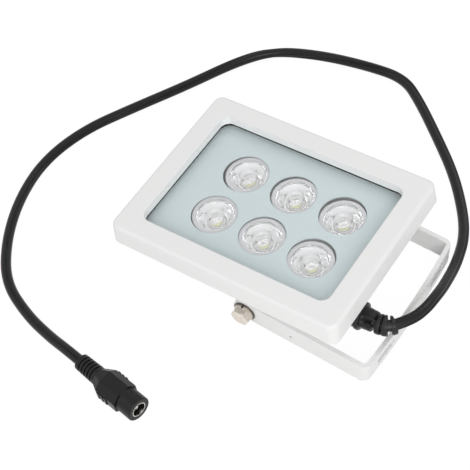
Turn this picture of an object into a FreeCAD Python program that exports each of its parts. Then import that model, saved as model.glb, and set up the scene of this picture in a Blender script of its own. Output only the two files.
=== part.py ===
import FreeCAD, Part
import math
import os
from FreeCAD import Vector, Placement, Rotation

# Small die-cast LED floodlight, lying on its finned back with its face up.
# It is built about the lamp head's own centre line, with x along the long side, y along
# the short side, z up and the table at z = 0. Each piece is then shifted along x once, so
# that the origin lies under the middle of head and bracket together.
# The cord and the socket on its end are placed in that shifted frame.

os.makedirs("parts", exist_ok=True)

# Lamp head, outside
lamp_depth = 42.0
frame_length = 115.0
frame_width = 87.0
frame_height = 11.0
frame_corner = 4.5
frame_foot_corner = 3.4
frame_draft = 0.4
frame_edge = 1.6
bezel = 10.0
window_corner = 4.5
window_edge = 0.5
lip_depth = 4.25

# Front glass and its seals
glass_thickness = 2.5
glass_overlap = 2.4
glass_clearance = 0.25
glass_corner = 4.0
seal_corner = 4.5
lip_seal_thickness = 0.4
lip_seal_width = 2.1
body_seal_thickness = 0.5
body_seal_margin = 0.3

# Rear housing
body_end_inset = 4.0
body_side_inset = 8.3
body_end_taper = 12.5
body_side_taper = 11.2
body_corner = 6.0
body_wall = 2.6
fin_share = 0.155
fin_pitch = 7.0
fin_gap = 4.5
fin_root = 1.2
floor_thickness = 3.0
flange_clearance = 0.3
flange_wall = 2.3

# Cover plate with its six holes
plate_thickness = 0.6
plate_overlap = 1.8
plate_clearance = 0.15
hole_pitch_x_share = 0.2653
hole_pitch_y_share = 0.3836
hole_centre_share = 0.0253
hole_centre_y = -0.15
hole_radius = 10.6
array_columns = 3
array_rows = 2

# Lens array: it sits a little off the plate's holes, shifted from the first one and twisted
array_shift_x = 0.1
array_shift_y = 0.7
array_twist = 1.6
lens_radius = 10.2
lens_top_gap = 0.2
lens_flange = 1.6
lens_shoulder_radius = 9.2
lens_foot_radius = 4.6
lens_share = 0.213
lens_well_radius = 4.4
lens_well_depth = 3.4
lens_well_crown = 0.9
lens_pocket_radius = 3.1
lens_pocket_depth = 2.9
holder_rim = 1.2
holder_wall = 1.1
holder_foot = 1.4
holder_gap = 0.1
holder_margin = 0.8

# LED board and emitters
board_thickness = 1.6
board_margin = 10.5
board_corner = 3.0
led_base_radius = 4.0
led_base_height = 1.8
led_dome_radius = 2.6
led_dome_height = 2.2
led_lens_gap = 0.1
rail_width = 12.0
rail_end_margin = 8.0
board_screw_shift = 3.6

# Driver board between the rails, and what is on it: places are given from its middle
driver_length = 46.0
driver_rail_gap = 0.8
driver_thickness = 1.2
driver_lift = 2.0
driver_corner = 1.0
post_radius = 2.6
coil_radius = 4.2
coil_core_radius = 3.0
coil_share = 0.75
coil_rim = 1.0
coil_place = (-8.0, 0.0)
can_radius = 3.2
can_share = 0.9
can_bead = 0.3
can_place = (0.0, 0.0)
chip_size = (5.0, 3.4, 1.6)
chip_place = (11.6, -2.6)
diode_size = (4.4, 2.4, 2.2)
diode_place = (11.6, 3.0)
resistor_size = (3.2, 1.6, 0.6)
resistor_place = (11.6, 0.5)
terminal_length = 7.4
terminal_width = 8.0
terminal_share = 0.85
terminal_place = (18.2, 0.0)

# Screws: small pan-head machine screws
screw_radius = 1.5
screw_head_radius = 2.6
screw_head_height = 2.2
screw_recess_radius = 1.3
screw_recess_depth = 1.2
screw_clearance = 0.15
screw_chamfer = 0.3
screw_crown_share = 0.7
screw_end_gap = 0.5
frame_screw_length = 7.6
frame_screw_inset = 11.5
board_screw_length = 6.6
driver_screw_length = 4.6
driver_screw_offsets = (-15.5, 6.2)

# U bracket, measured about its pivot
pivot_x = 6.5
pivot_height = 12.6
bracket_reach = 61.0
bracket_bow = 1.5
arm_inset = 5.7
bracket_width_share = 2 / 7
bracket_sheet = 2.0
bracket_bend = 1.5
bracket_floor_gap = 0.1
slot_offset = 22.5
slot_length = 13.0
slot_width = 4.2
centre_hole_radius = 2.6
pivot_fit = 0.1
arm_gap = 0.1

# Pivot bolts: hexagon head, spring washer and flat washer
bolt_radius = 2.5
bolt_head_height = 3.1
bolt_across_flats = 8.0
bolt_length = 14.0
bolt_chamfer = 0.7
bolt_crown = 0.35
bolt_crown_width = 0.62
bolt_hole_clearance = 0.05
spring_washer_radius = 4.6
spring_washer_thickness = 1.0
spring_washer_split = 0.9
flat_washer_radius = 5.2
flat_washer_thickness = 0.5
washer_fit = 0.1
boss_inner_radius = 5.5
boss_end_wall = 1.0

# Strain relief where the cord leaves the housing's end
exit_y = -18.9
exit_board_gap = 0.3
exit_hole_radius = 4.5
exit_pad_radius = 5.8
exit_pad_inset = 6.1
exit_snap_gap = 0.8
exit_snap_clearance = 0.3
relief_base_radius = 5.9
relief_base_thickness = 2.2
relief_flange_radius = 6.4
relief_flange_thickness = 2.2
relief_flange_edge = 0.5
relief_neck_radius = 4.9
relief_neck_end_radius = 4.7
relief_neck_length = 4.4
relief_groove_start = 0.5
relief_groove_length = 4.4
relief_groove_width = 1.4
relief_groove_depth = 1.2
relief_notch_share = 0.55
relief_core_radius = 3.1
relief_straight = 7.26
relief_bend_angle = 50.0
relief_ring_radii = (4.6, 4.5, 4.2)
relief_ring_lengths = (2.2, 2.1, 2.0)
relief_ring_gaps = (1.5, 0.6, 1.5)
relief_snap_radius = 5.4
relief_snap_thickness = 1.6
relief_fit = 0.05

# Cord: it leaves the strain relief straight, then follows points chosen along its line
# on the table, in the shifted frame
cord_radius = 2.3
cord_tail = 3.0
cord_first_run = 7.6
cord_route = [
    (70.6, -2.2, 18.3), (71.0, 5.4, 16.8), (70.3, 12.2, 14.0), (68.9, 20.0, 10.6),
    (67.7, 27.0, 7.6), (66.6, 35.0, 5.2), (62.6, 47.8, 3.0), (54.8, 60.8, 2.3),
    (40.5, 79.5, 2.3), (22.5, 96.5, 2.3), (4.0, 112.0, 2.3),
    (-11.0, 123.0, 2.3), (-31.0, 123.0, 2.3), (-57.0, 118.5, 2.3), (-80.0, 109.5, 2.3),
    (-93.5, 95.0, 2.3), (-108.0, 69.0, 2.3), (-123.5, 43.5, 2.3), (-137.0, 19.5, 2.3),
    (-143.0, -6.5, 2.3), (-138.8, -31.5, 2.3), (-128.0, -54.0, 2.3), (-112.0, -73.5, 2.3),
    (-91.0, -83.6, 2.3), (-73.0, -87.8, 3.6), (-61.5, -90.1, 5.9), (-52.7, -91.7, 5.9),
]

# Socket on the cord's end, built along +x from the boot's tip
boot_length = 13.8
boot_tip_radius = 3.9
boot_end_radius = 4.3
boot_shoulder = 1.4
boot_groove_count = 5
boot_groove_pitch = 1.9
boot_groove_width = 0.8
boot_groove_depth = 0.6
boot_groove_slope = 0.1
boot_groove_end = 0.8
flare_length = 4.5
flare_chamfer = 2.5
grip_length = 12.0
grip_width = 12.9
grip_height = 11.6
grip_chamfer = 3.2
rib_count = 3
rib_start = 1.0
rib_end_gap = 0.3
rib_pitch = 2.2
rib_length = 1.3
rib_height = 0.45
barrel_length = 8.4
barrel_radius = 5.85
barrel_edge = 0.5
sleeve_radius = 3.6
sleeve_wall = 0.4
sleeve_length = 10.0
socket_fit = 0.02
socket_base_thickness = 2.0
pin_radius = 1.05
pin_recess = 1.5
pin_edge = 0.4

# Leads inside the housing
lead_radius = 0.8
lead_spacing = 2.0
lead_column_gap = 3.0
lead_bow = 2.5
lead_room_share = 0.5
lead_hole_radius = 1.3
lead_hole_depth = 2.0
lead_board_place = -21.0
lead_edge_gap = 2.8
led_pad_x = -7.0

# Share of its shorter run that each arc of a cord or lead takes up
arc_share = 0.45

# How far a cut runs past a face, and how close two lengths count as equal
over = 1.0
near = 0.01

# Plan sizes of window, body and bracket, from the frame's
window_length = frame_length - 2 * bezel
window_width = frame_width - 2 * bezel
body_length = frame_length - 2 * body_end_inset
body_width = frame_width - 2 * body_side_inset
bracket_span = frame_width - 2 * arm_inset
bracket_width = lamp_depth * bracket_width_share
boss_radius = bracket_width / 2
hole_pitch_x = window_length * hole_pitch_x_share
hole_pitch_y = window_width * hole_pitch_y_share
hole_centre_x = window_length * hole_centre_share
driver_width = hole_pitch_y - rail_width - 2 * driver_rail_gap
exit_pad_face = frame_length / 2 - exit_pad_inset

# Levels, from the face down to the back
fin_depth = lamp_depth * fin_share
lens_height = lamp_depth * lens_share
lip_back = lamp_depth - lip_depth
glass_top = lip_back - lip_seal_thickness
glass_bottom = glass_top - glass_thickness
flange_top = glass_bottom - body_seal_thickness
frame_bottom = lamp_depth - frame_height
plate_bottom = flange_top - plate_thickness
lens_top = plate_bottom - lens_top_gap
lens_bottom = lens_top - lens_height
led_base_top = lens_bottom - led_lens_gap
board_top = led_base_top - led_base_height
rail_top = board_top - board_thickness
floor_top = fin_depth + floor_thickness
exit_height = rail_top - cord_radius - exit_board_gap

# Plan sizes that follow from the sizes above
flange_length = frame_length - 2 * (flange_wall + flange_clearance)
flange_width = frame_width - 2 * (flange_wall + flange_clearance)
flange_corner = frame_corner - flange_wall - flange_clearance
glass_length = window_length + 2 * glass_overlap
glass_width = window_width + 2 * glass_overlap
plate_length = window_length + 2 * plate_overlap
plate_width = window_width + 2 * plate_overlap
board_length = (array_columns - 1) * hole_pitch_x + 2 * board_margin
board_width = (array_rows - 1) * hole_pitch_y + 2 * board_margin
frame_screw_x = frame_length / 2 - frame_screw_inset
frame_screw_y = (body_width + flange_width) / 4

# Bracket's tilt: its web's lower edge rests on the table
web_reach = bracket_reach + bracket_bow
edge_radius = math.hypot(web_reach, bracket_width / 2)
edge_phase = math.atan2(bracket_width / 2, web_reach)
bracket_tilt = math.asin((pivot_height - bracket_floor_gap) / edge_radius) - edge_phase
reach_x = pivot_x + web_reach * math.cos(bracket_tilt) + bracket_width / 2 * math.sin(bracket_tilt)
middle_x = (reach_x - frame_length / 2) / 2

X = Vector(1, 0, 0)
Y = Vector(0, 1, 0)
Z = Vector(0, 0, 1)


def rounded_wire(length, width, radius, z, x=0.0, y=0.0):
    """Closed outline of a rectangle with round corners, centred on (x, y)."""
    half_l = length / 2
    half_w = width / 2
    arcs = []
    for sx, sy, start in ((1, 1, 0), (-1, 1, 90), (-1, -1, 180), (1, -1, 270)):
        centre = Vector(x + sx * (half_l - radius), y + sy * (half_w - radius), z)
        arcs.append(Part.makeCircle(radius, centre, Z, start, start + 90))
    edges = []
    for arc, following in zip(arcs, arcs[1:] + arcs[:1]):
        edges.append(arc)
        end = arc.valueAt(arc.LastParameter)
        start = following.valueAt(following.FirstParameter)
        if end.distanceToPoint(start) > near:
            edges.append(Part.makeLine(end, start))
    return Part.Wire(edges)


def slab(length, width, radius, low, high, x=0.0, y=0.0):
    """Rounded rectangle from level low to level high."""
    face = Part.Face(rounded_wire(length, width, radius, low, x, y))
    return face.extrude(Vector(0, 0, high - low))


def block(size, centre, low):
    """Box of the given size, centred on a point of the plan, standing on level low."""
    corner = Vector(centre[0] - size[0] / 2, centre[1] - size[1] / 2, low)
    return Part.makeBox(size[0], size[1], size[2], corner)


def rod(radius, start, end):
    """Round bar between two points."""
    axis = end - start
    return Part.makeCylinder(radius, axis.Length, start, axis)


def moved(shape, base, rotation):
    """Copy of a shape, turned about the origin and then stood on base."""
    copy = shape.copy()
    copy.Placement = Placement(base, rotation).multiply(copy.Placement)
    return copy


def turned(points, base, axis=Z):
    """Solid of revolution from (radius, height) points, stood on base along axis."""
    outline = [Vector(r, 0, h) for r, h in points]
    wire = Part.makePolygon(outline + outline[:1])
    solid = Part.Face(wire).revolve(Vector(), Z, 360)
    return moved(solid, base, Rotation(Z, axis))


def rounded_path(points):
    """Straight runs joined by tangent arcs, each as large as its two runs allow.

    Returns the wire, its length and the arcs' radii.
    """
    vectors = [Vector(*p) for p in points]
    edges = []
    radii = []
    length = 0.0
    start = vectors[0]
    for before, corner, after in zip(vectors, vectors[1:], vectors[2:]):
        into = corner - before
        out = after - corner
        turn = into.getAngle(out)
        setback = arc_share * min(into.Length, out.Length)
        radius = setback / math.tan(turn / 2)
        into_unit = Vector(into).normalize()
        out_unit = Vector(out).normalize()
        first = corner - into_unit * setback
        last = corner + out_unit * setback
        inward = Vector(out_unit - into_unit).normalize()
        middle = corner + inward * (radius / math.cos(turn / 2) - radius)
        edges.append(Part.LineSegment(start, first).toShape())
        edges.append(Part.Arc(first, middle, last).toShape())
        length += (first - start).Length + radius * turn
        radii.append(radius)
        start = last
    edges.append(Part.LineSegment(start, vectors[-1]).toShape())
    length += (vectors[-1] - start).Length
    return Part.Wire(edges), length, radii


def tube(radius, wire):
    """Round bar along a path of lines and tangent arcs."""
    first = wire.Edges[0]
    start = first.valueAt(first.FirstParameter)
    ahead = first.tangentAt(first.FirstParameter)
    profile = Part.Wire(Part.makeCircle(radius, start, ahead))
    return wire.makePipeShell([profile], True, False)


def edges_above(shape, level):
    """Edges that lie wholly at or above a level."""
    return [e for e in shape.Edges if e.BoundBox.ZMin > level - near]


def end_edges(shape, x):
    """Closed edges of a round piece at its end towards +x."""
    return [e for e in shape.Edges if e.Closed and e.BoundBox.XMin > x - near]


def save(name, shape, shifted=True):
    """Writes one node. Lamp pieces are shifted so that the origin is under the middle."""
    placed = shape.copy()
    if shifted:
        placed.translate(Vector(-middle_x, 0, 0))
    placed.exportStep("parts/" + name + ".step")


def body_size(z):
    """Plan size of the tapered rear body at level z."""
    lower = 2 * (1 - z / frame_bottom)
    return body_length - lower * body_end_taper, body_width - lower * body_side_taper


def hole_place(column, row):
    """Centre of one of the cover plate's holes."""
    x = hole_centre_x + (column - (array_columns - 1) / 2) * hole_pitch_x
    y = hole_centre_y + (row - (array_rows - 1) / 2) * hole_pitch_y
    return Vector(x, y, 0)


def first_emitter():
    """Centre of the emitter under the plate's first hole, in plan."""
    return hole_place(0, 0) + Vector(array_shift_x, array_shift_y, 0)


def twisted(dx, dy, z):
    """Point on the LED board, given from the first emitter along the board's own sides."""
    turn = Rotation(Z, -array_twist)
    return first_emitter() + turn.multVec(Vector(dx, dy, z))


def lens_places(z):
    """Centres of the six lenses, row by row."""
    places = []
    for row in range(array_rows):
        for column in range(array_columns):
            places.append(twisted(column * hole_pitch_x, row * hole_pitch_y, z))
    return places


def board_screw_places(z):
    """The LED board's four screws, between the emitters on the two rails."""
    places = []
    for gap in range(array_columns - 1):
        for row, inward in ((0, 1), (array_rows - 1, -1)):
            dy = row * hole_pitch_y + inward * board_screw_shift
            places.append(twisted((gap + 0.5) * hole_pitch_x, dy, z))
    return places


def frame_screw_places(z):
    """The four screws that hold the front frame, in the flange beside the body."""
    return [Vector(sx * frame_screw_x, sy * frame_screw_y, z) for sx in (-1, 1) for sy in (-1, 1)]


# Front frame: cast ring with drafted walls and a raised lip round the window
def front_frame():
    foot = rounded_wire(frame_length + 2 * frame_draft, frame_width + 2 * frame_draft,
                        frame_foot_corner, frame_bottom)
    face = rounded_wire(frame_length, frame_width, frame_corner, lamp_depth)
    frame = Part.makeLoft([foot, face], True, True)
    frame = frame.makeFillet(frame_edge, edges_above(frame, lamp_depth))
    frame = frame.cut(slab(window_length, window_width, window_corner, frame_bottom, lamp_depth))
    half_window = window_length / 2 + near
    inner = [e for e in edges_above(frame, lamp_depth)
             if max(abs(e.BoundBox.XMin), abs(e.BoundBox.XMax)) < half_window
             and max(abs(e.BoundBox.YMin), abs(e.BoundBox.YMax)) < window_width / 2 + near]
    frame = frame.makeFillet(window_edge, inner)
    frame = frame.cut(slab(glass_length + 2 * glass_clearance, glass_width + 2 * glass_clearance,
                           glass_corner + glass_clearance, frame_bottom, lip_back))
    frame = frame.cut(slab(frame_length - 2 * flange_wall, frame_width - 2 * flange_wall,
                           frame_corner - flange_wall, frame_bottom, glass_bottom))
    for place in frame_screw_places(frame_bottom):
        frame = frame.cut(rod(screw_radius, place, place + Z * (frame_screw_length + screw_end_gap)))
    return frame


# Flat rubber rings above and below the glass
def lip_seal():
    outer = slab(glass_length, glass_width, glass_corner, glass_top, lip_back)
    inner = slab(glass_length - 2 * lip_seal_width, glass_width - 2 * lip_seal_width, seal_corner,
                 glass_top, lip_back)
    return outer.cut(inner)


def body_seal():
    outer = slab(flange_length, flange_width, flange_corner, flange_top, glass_bottom)
    inner = slab(window_length + 2 * body_seal_margin, window_width + 2 * body_seal_margin,
                 window_corner + body_seal_margin, flange_top, glass_bottom)
    seal = outer.cut(inner)
    for place in frame_screw_places(flange_top):
        seal = seal.cut(rod(screw_radius + screw_clearance, place, place + Z * body_seal_thickness))
    return seal


def front_glass():
    return slab(glass_length, glass_width, glass_corner, glass_bottom, glass_top)


# Rear housing: tapered box with a flange, finned back, rails and bosses
def rear_housing():
    back = rounded_wire(*body_size(0), body_corner, 0)
    top = rounded_wire(*body_size(frame_bottom), body_corner, frame_bottom)
    body = Part.makeLoft([back, top], True, True)
    flange = slab(flange_length, flange_width, flange_corner, frame_bottom, flange_top)
    body = body.fuse([flange, exit_pad()] + pivot_bosses())
    cavity = Part.makeLoft([inside_wire(floor_top), inside_wire(flange_top)], True, True)
    cavity = cavity.cut(Part.Compound(inner_bosses() + rails() + driver_posts() + [exit_pad()]))
    recess = slab(plate_length + 2 * plate_clearance, plate_width + 2 * plate_clearance,
                  window_corner + plate_overlap + plate_clearance, plate_bottom, flange_top)
    body = body.cut([cavity, recess] + fin_gaps() + housing_holes())
    return body.removeSplitter()


def inside_wire(z):
    """Outline of the housing's hollow at level z."""
    length, width = body_size(z)
    return rounded_wire(length - 2 * body_wall, width - 2 * body_wall, body_corner - body_wall, z)


def exit_pad_back():
    """The pad's inner face, so far out that the relief's snap clears the LED board."""
    twist = math.radians(array_twist)
    board_end = first_emitter().x - board_margin + board_length + board_width * math.sin(twist)
    return board_end + exit_snap_gap + relief_snap_thickness


def exit_pad():
    """Round pad through the end wall, flat on both sides, where the strain relief snaps in."""
    axis = Vector(0, exit_y, exit_height)
    return rod(exit_pad_radius, axis + X * exit_pad_back(), axis + X * exit_pad_face)


def pivot_bosses():
    """Round pads on the long sides that the bracket's arms turn against."""
    face = bracket_span / 2 - bracket_sheet - arm_gap
    root = body_size(pivot_height)[1] / 2 - body_wall
    bosses = []
    for side in (-1, 1):
        start = Vector(pivot_x, side * root, pivot_height)
        bosses.append(rod(boss_radius, start, Vector(pivot_x, side * face, pivot_height)))
    return bosses


def inner_bosses():
    """Deeper metal inside the wall for the pivot bolts' threads."""
    wall = body_size(pivot_height)[1] / 2
    depth = bracket_span / 2 + washer_stack() - bolt_length - boss_end_wall
    bosses = []
    for side in (-1, 1):
        foot_size = (2 * boss_inner_radius, wall - depth, pivot_height - floor_top)
        foot = block(foot_size, (pivot_x, side * (wall + depth) / 2), floor_top)
        axis = Vector(pivot_x, 0, pivot_height)
        cap = rod(boss_inner_radius, axis + Y * (side * depth), axis + Y * (side * wall))
        bosses.append(foot.fuse(cap))
    return bosses


def rails():
    """Two long ribs that carry the LED board and draw its heat into the back."""
    length = board_length - 2 * rail_end_margin
    bars = []
    for row in (0, array_rows - 1):
        middle = hole_place((array_columns - 1) / 2, row)
        bars.append(block((length, rail_width, rail_top - floor_top), (middle.x, middle.y), floor_top))
    return bars


def on_driver(place, z):
    """Point at level z, given in plan from the middle of the driver board."""
    return Vector(hole_centre_x + place[0], hole_centre_y + place[1], z)


def driver_top():
    return floor_top + driver_lift + driver_thickness


def driver_room(share):
    """Height of a component that takes a share of the room under the LED board."""
    return share * (rail_top - driver_top())


def driver_screw_places(z):
    """The driver board's two screws."""
    return [on_driver((offset, 0), z) for offset in driver_screw_offsets]


def driver_posts():
    """Two short posts under the driver board."""
    return [rod(post_radius, foot, foot + Z * driver_lift) for foot in driver_screw_places(floor_top)]


def fin_gaps():
    """Open grooves across the back, with the fins left between them."""
    count = 2 * int((body_size(0)[0] - 2 * body_corner) / (2 * fin_pitch) + near)
    gaps = []
    for i in range(count):
        x = (i - (count - 1) / 2) * fin_pitch
        groove = block((fin_gap, body_width, fin_depth), (x, 0), 0)
        root = [e for e in edges_above(groove, fin_depth) if e.BoundBox.YLength > fin_gap]
        gaps.append(groove.makeFillet(fin_root, root))
    return gaps


def housing_holes():
    holes = []
    for place in frame_screw_places(frame_bottom):
        holes.append(rod(screw_radius + screw_clearance, place - Z * over, place + Z * frame_height))
    for place in board_screw_places(board_top):
        holes.append(rod(screw_radius, place, place - Z * (board_screw_length + screw_end_gap)))
    for place in driver_screw_places(driver_top()):
        holes.append(rod(screw_radius, place, place - Z * (driver_screw_length + screw_end_gap)))
    for side in (-1, 1):
        outer = Vector(pivot_x, side * bracket_span / 2, pivot_height)
        inner = outer - Y * (side * (bolt_length - washer_stack() + screw_end_gap))
        holes.append(rod(bolt_radius + bolt_hole_clearance, inner, outer))
    axis = Vector(0, exit_y, exit_height)
    holes.append(rod(exit_hole_radius, axis + X * exit_pad_back(), axis + X * exit_pad_face))
    snap_room = relief_snap_radius + exit_snap_clearance
    holes.append(rod(snap_room, axis + X * cord_end_x(), axis + X * exit_pad_back()))
    return holes


# Cover plate: painted sheet with a hole for each lens
def cover_plate():
    plate = slab(plate_length, plate_width, window_corner + plate_overlap, plate_bottom, flange_top)
    for column in range(array_columns):
        for row in range(array_rows):
            centre = hole_place(column, row) + Z * plate_bottom
            plate = plate.cut(rod(hole_radius, centre, centre + Z * plate_thickness))
    return plate


# LED board with its emitters, lenses and lens holders
def led_board():
    middle = ((array_columns - 1) * hole_pitch_x / 2, (array_rows - 1) * hole_pitch_y / 2)
    board = slab(board_length, board_width, board_corner, rail_top, board_top, middle[0], middle[1])
    board = moved(board, first_emitter(), Rotation(Z, -array_twist))
    for place in board_screw_places(rail_top):
        board = board.cut(rod(screw_radius + screw_clearance, place, place + Z * board_thickness))
    return board


def emitter(place):
    base = rod(led_base_radius, place, place + Z * led_base_height)
    sphere = (led_dome_radius ** 2 + led_dome_height ** 2) / (2 * led_dome_height)
    dome_base = place + Z * led_base_height
    ball = Part.makeSphere(sphere, dome_base + Z * (led_dome_height - sphere))
    keep = rod(led_dome_radius, dome_base, dome_base + Z * led_dome_height)
    return base.fuse(ball.common(keep)).removeSplitter()


def lens(place):
    """Clear collimator: solid cone, front flange, central well and a pocket over the emitter."""
    pocket = lens_pocket_depth
    points = [
        (0, pocket), (lens_pocket_radius, pocket), (lens_pocket_radius, 0), (lens_foot_radius, 0),
        (lens_shoulder_radius, lens_height - lens_flange), (lens_radius, lens_height - lens_flange),
        (lens_radius, lens_height), (lens_well_radius, lens_height),
        (lens_well_radius, lens_height - lens_well_depth), (0, lens_height - lens_well_depth)]
    body = turned(points, place)
    crown = (lens_well_radius ** 2 + lens_well_crown ** 2) / (2 * lens_well_crown)
    well_floor = place + Z * (lens_height - lens_well_depth)
    ball = Part.makeSphere(crown, well_floor + Z * (lens_well_crown - crown))
    keep = rod(lens_well_radius, well_floor, well_floor + Z * lens_well_crown)
    return body.fuse(ball.common(keep)).removeSplitter()


def lens_holder(place):
    """Moulded cup that stands round the emitter and carries the lens by its flange."""
    seat = lens_top - lens_flange - place.z
    inner = lens_shoulder_radius + holder_gap
    foot_inner = lens_foot_radius + holder_margin
    cone_start = lens_bottom - place.z
    points = [
        (foot_inner, 0), (inner, 0), (inner, holder_foot), (foot_inner + holder_wall, holder_foot),
        (lens_radius, seat - holder_rim), (lens_radius, seat), (inner, seat), (foot_inner, cone_start)]
    return turned(points, place)


# Screws: the head sits on the given point and the shank runs along the axis from it
def pan_screw(place, axis, length):
    points = [
        (0, length), (screw_radius - screw_chamfer, length), (screw_radius, length - screw_chamfer),
        (screw_radius, 0), (screw_head_radius, 0), (screw_head_radius, -screw_head_height / 2),
        (screw_head_radius * screw_crown_share, -screw_head_height), (0, -screw_head_height)]
    screw = turned(points, Vector())
    arm = 2 * screw_recess_radius
    for length_x, length_y in ((arm, arm / 4), (arm / 4, arm)):
        screw = screw.cut(block((length_x, length_y, screw_recess_depth), (0, 0), -screw_head_height))
    return moved(screw, place, Rotation(Z, axis))


def frame_screws():
    return Part.Compound([pan_screw(p, Z, frame_screw_length) for p in frame_screw_places(frame_bottom)])


def board_screws():
    return Part.Compound([pan_screw(p, Z * -1, board_screw_length) for p in board_screw_places(board_top)])


def driver_screws():
    places = driver_screw_places(driver_top())
    return Part.Compound([pan_screw(p, Z * -1, driver_screw_length) for p in places])


# Driver board and its components
def driver_board():
    low = floor_top + driver_lift
    middle = on_driver((0, 0), low)
    board = slab(driver_length, driver_width, driver_corner, low, driver_top(), middle.x, middle.y)
    for place in driver_screw_places(low):
        board = board.cut(rod(screw_radius + screw_clearance, place, place + Z * driver_thickness))
    return board


def driver_coil():
    """Drum core: two flat rims with the narrower winding between them."""
    height = driver_room(coil_share)
    half_slope = (coil_radius - coil_core_radius) / 2
    points = [
        (0, 0), (coil_radius, 0), (coil_radius, coil_rim),
        (coil_core_radius, coil_rim + half_slope),
        (coil_core_radius, height - coil_rim - half_slope),
        (coil_radius, height - coil_rim), (coil_radius, height), (0, height)]
    return turned(points, on_driver(coil_place, driver_top()))


def driver_capacitor():
    """Aluminium can with a bead near its foot and a bevelled top."""
    height = driver_room(can_share)
    points = [
        (0, 0), (can_radius, 0), (can_radius, 3 * can_bead), (can_radius - can_bead, 4 * can_bead),
        (can_radius, 5 * can_bead), (can_radius, height - can_bead),
        (can_radius - can_bead, height), (0, height)]
    return turned(points, on_driver(can_place, driver_top()))


def driver_chips():
    chips = []
    kinds = ((chip_size, chip_place), (diode_size, diode_place), (resistor_size, resistor_place))
    for size, place in kinds:
        chips.append(block(size, on_driver(place, 0), driver_top()))
    return Part.Compound(chips)


def terminal_face(side):
    """Where a lead enters the terminal block, on its face towards the cord."""
    height = driver_top() + driver_room(terminal_share) / 2
    face = on_driver(terminal_place, height) + X * (terminal_length / 2)
    return face + Y * (side * lead_spacing)


def terminal_block():
    size = (terminal_length, terminal_width, driver_room(terminal_share))
    terminal = block(size, on_driver(terminal_place, 0), driver_top())
    for side in (-1, 1):
        mouth = terminal_face(side)
        terminal = terminal.cut(rod(lead_hole_radius, mouth - X * lead_hole_depth, mouth))
    return terminal


# Leads inside: one pair comes from the cord, the other goes on to the LED board
def input_lead(side):
    """From the cord's end, past the end of the LED board's rail, into the terminal block."""
    start_x = cord_end_x() - cord_tail
    y = exit_y + side * lead_spacing / 2
    mouth = terminal_face(side)
    column = start_x - lead_column_gap + side * lead_spacing / 2
    points = [(start_x, y, exit_height), (column, y, exit_height), (column, mouth.y, mouth.z),
              (mouth.x - lead_hole_depth, mouth.y, mouth.z)]
    wire, length, radii = rounded_path(points)
    return tube(lead_radius, wire)


def led_lead(side):
    """From the driver board's far end, round the LED board's edge, down onto its pads."""
    foot = on_driver((lead_board_place, side * lead_spacing), driver_top())
    pad = twisted(led_pad_x, hole_pitch_y / 2 + side * lead_spacing, board_top)
    height = driver_top() + driver_room(lead_room_share)
    edge_x = hole_centre_x - board_length / 2 - lead_edge_gap
    points = [
        tuple(foot), (foot.x, foot.y, height), (edge_x, foot.y, height),
        (edge_x, pad.y, board_top + lead_bow), (pad.x, pad.y, board_top + lead_bow), tuple(pad)]
    wire, length, radii = rounded_path(points)
    return tube(lead_radius, wire)


def leads(side):
    return Part.Compound([input_lead(side), led_lead(side)])


# U bracket: one strip of sheet, bent twice, with a slightly bowed web
def bracket_region(inset, bend, height):
    """Plan of the bracket's outline, moved in by inset, as a solid centred on its own plane.

    The web's face is an arc, and both faces of the sheet share that arc's centre.
    """
    radius = ((bracket_span / 2) ** 2 + bracket_bow ** 2) / (2 * bracket_bow)
    width = bracket_span - 2 * inset
    region = block((2 * web_reach, width, height), (web_reach / 2, 0), -height / 2)
    centre = Vector(web_reach - radius, 0, -height / 2)
    region = region.common(Part.makeCylinder(radius - inset, height, centre))
    corners = [e for e in region.Edges
               if e.BoundBox.ZLength > height - near and e.BoundBox.XMin > web_reach / 2]
    return region.makeFillet(bend, corners)


def bracket():
    outer = bracket_region(0, bracket_bend + bracket_sheet, bracket_width)
    inner = bracket_region(bracket_sheet, bracket_bend, bracket_width + 2 * over)
    strip = outer.cut(inner)
    side_on = Vector(0, -bracket_span / 2, 0)
    round_end = Part.makeCylinder(bracket_width / 2, bracket_span, side_on, Y)
    beyond = block((web_reach, bracket_span, bracket_width), (web_reach / 2, 0), -bracket_width / 2)
    strip = strip.common(round_end.fuse(beyond))
    strip = strip.cut(Part.makeCylinder(bolt_radius + pivot_fit, bracket_span, side_on, Y))
    web_middle = web_reach - bracket_sheet / 2
    for side in (-1, 1):
        slot = slab(slot_length, slot_width, slot_width / 2, -2 * bracket_sheet, 2 * bracket_sheet)
        strip = strip.cut(moved(slot, Vector(web_middle, side * slot_offset, 0), Rotation(Y, Z, X)))
    hole_start = Vector(web_middle - 2 * bracket_sheet, 0, 0)
    strip = strip.cut(Part.makeCylinder(centre_hole_radius, 4 * bracket_sheet, hole_start, X))
    return moved(strip, Vector(pivot_x, 0, pivot_height), Rotation(Y, math.degrees(bracket_tilt)))


# Pivot bolts with their washers, on the two long sides
def washer_stack():
    return arm_gap + flat_washer_thickness + spring_washer_thickness


def pivot_bolt(side):
    """Hexagon-head bolt whose shank points inward from the arm."""
    under_head = bracket_span / 2 + washer_stack()
    corner = bolt_across_flats / math.sqrt(3)
    hexagon = Part.makePolygon([Rotation(Z, 60 * i).multVec(X * corner) for i in range(7)])
    head = Part.Face(hexagon).extrude(Z * bolt_head_height)
    crown = turned([
        (0, 0), (corner, 0), (corner, bolt_head_height - bolt_crown),
        (corner - bolt_crown_width, bolt_head_height), (0, bolt_head_height)], Vector())
    head = head.common(crown)
    shank = turned([
        (0, 0), (bolt_radius, 0), (bolt_radius, -bolt_length + bolt_chamfer),
        (bolt_radius - bolt_chamfer, -bolt_length), (0, -bolt_length)], Vector())
    bolt = head.fuse(shank).removeSplitter()
    return moved(bolt, Vector(pivot_x, side * under_head, pivot_height), Rotation(Z, Y * side))


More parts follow.
